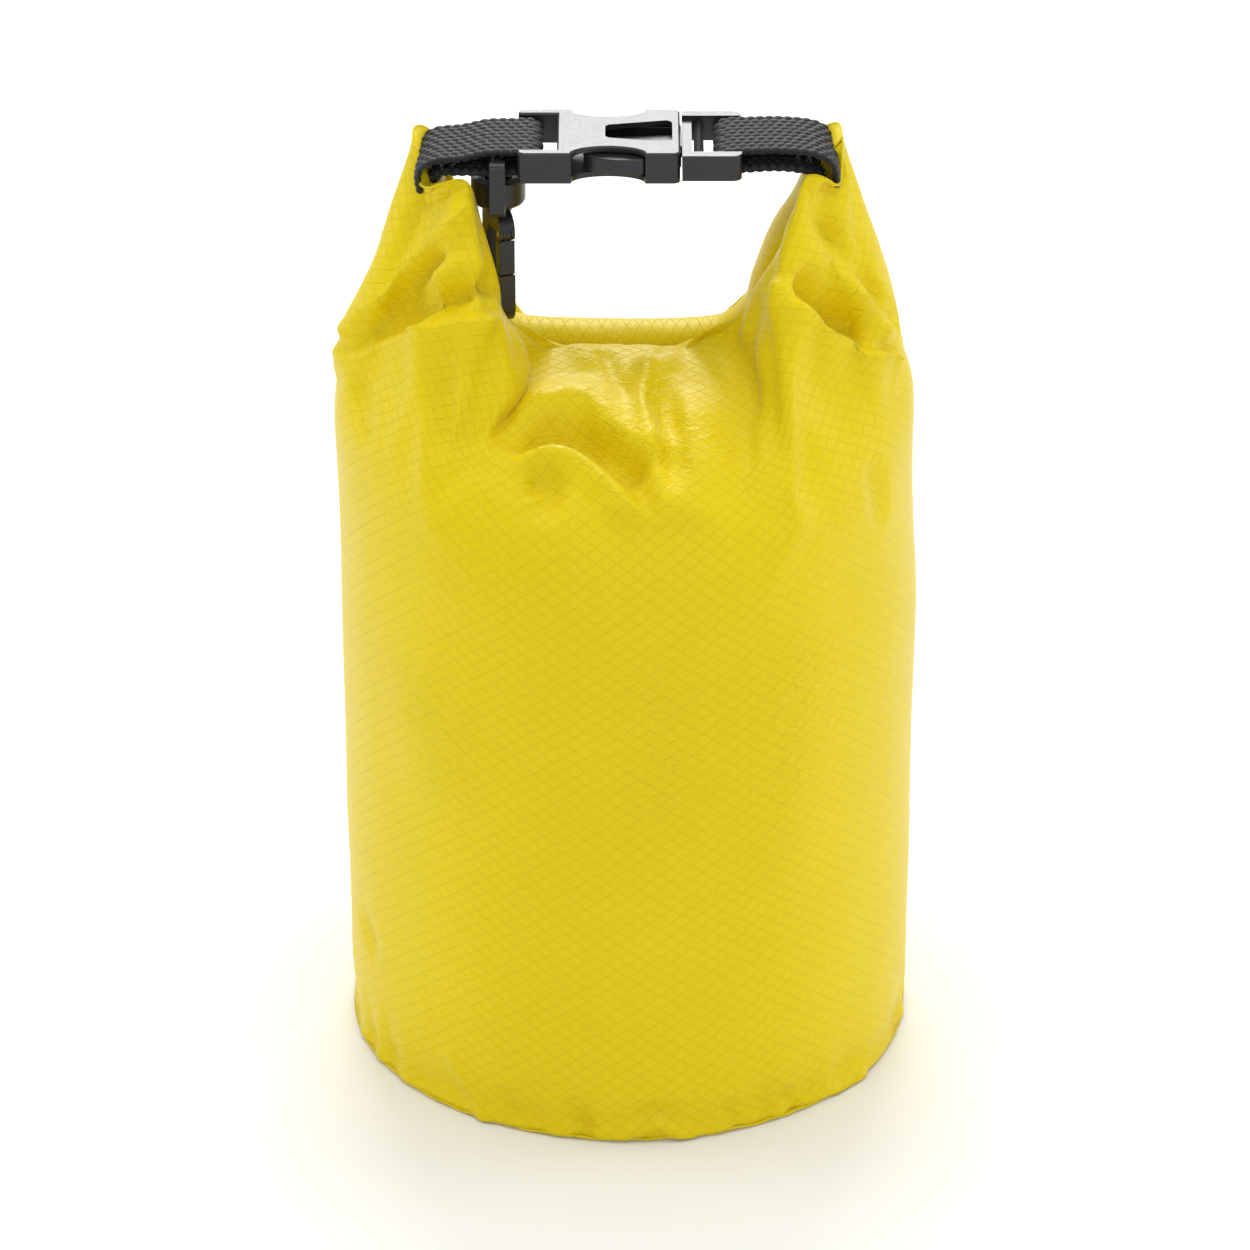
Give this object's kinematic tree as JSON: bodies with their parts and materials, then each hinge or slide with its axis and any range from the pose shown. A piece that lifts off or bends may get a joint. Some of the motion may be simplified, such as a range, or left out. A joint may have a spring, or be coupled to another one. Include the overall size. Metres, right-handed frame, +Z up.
{
  "type": "roll-top dry bag",
  "caption": "Stuffed roll-top dry bag in coated ripstop, rolled mouth buckled into a carry loop, with a swivel snap hook on the strap.",
  "frame": {"origin": "centre of the flat round base", "axes": "+Z up, +X along the closure strap towards the plug half of the buckle, +Y towards the back seam"},
  "size_m": [0.169, 0.169, 0.2889],
  "materials": {
    "coated_fabric": "coated ripstop, satin",
    "seam_tape": "smooth satin",
    "webbing": "coarse woven, matt",
    "thread": "matt",
    "black_plastic": "moulded gloss",
    "stiffener_plastic": "matt",
    "pin_steel": "satin"
  },
  "bodies": {
    "bag": {"body_wall": "coated_fabric", "bottom_panel": "coated_fabric", "bottom_seam_tape": "seam_tape", "side_seam_tape": "seam_tape", "neck": "coated_fabric", "roll": "coated_fabric", "mouth_stiffener": "stiffener_plastic", "left_ear": "coated_fabric", "left_webbing": "webbing", "left_bartack": "thread", "buckle_socket": "black_plastic"},
    "right_closure": {"right_ear": "coated_fabric", "right_webbing": "webbing", "right_bartack": "thread", "buckle_plug": "black_plastic"},
    "prong_front": {"prong_front": "black_plastic"},
    "prong_back": {"prong_back": "black_plastic"},
    "eye": {"swivel_eye": "black_plastic"},
    "hook": {"hook_body": "black_plastic", "swivel_rivet": "black_plastic", "gate_pin": "pin_steel"},
    "gate": {"hook_gate": "black_plastic"}
  },
  "joints": [
    {"name": "buckle_release", "type": "slide", "parent": "bag", "child": "right_closure", "axis": [1, 0, 0], "range_m": [0, 0.028], "deforming": ["prong_front", "prong_back"]},
    {"name": "prong_front_press", "type": "hinge", "parent": "right_closure", "child": "prong_front", "pos_m": [0.01365, -0.0095, 0.2843], "axis": [0, 0, -1], "range_deg": [0, 8], "stiffness_Nm_per_rad": 0.5},
    {"name": "prong_back_press", "type": "hinge", "parent": "right_closure", "child": "prong_back", "pos_m": [0.01365, 0.0095, 0.2843], "axis": [0, 0, 1], "range_deg": [0, 8], "stiffness_Nm_per_rad": 0.5},
    {"name": "eye_swing", "type": "hinge", "parent": "bag", "child": "eye", "pos_m": [-0.0378, 0, 0.2836], "axis": [0, 1, 0], "range_deg": [-20, 3]},
    {"name": "hook_swivel", "type": "hinge", "parent": "eye", "child": "hook", "pos_m": [-0.0378, 0, 0.267], "axis": [0, 0, 1], "continuous": true},
    {"name": "gate_open", "type": "hinge", "parent": "hook", "child": "gate", "pos_m": [-0.03575, -0.00596, 0.2595], "axis": [0.9455, 0.3256, 0], "range_deg": [0, 20], "stiffness_Nm_per_rad": 0.06}
  ]
}
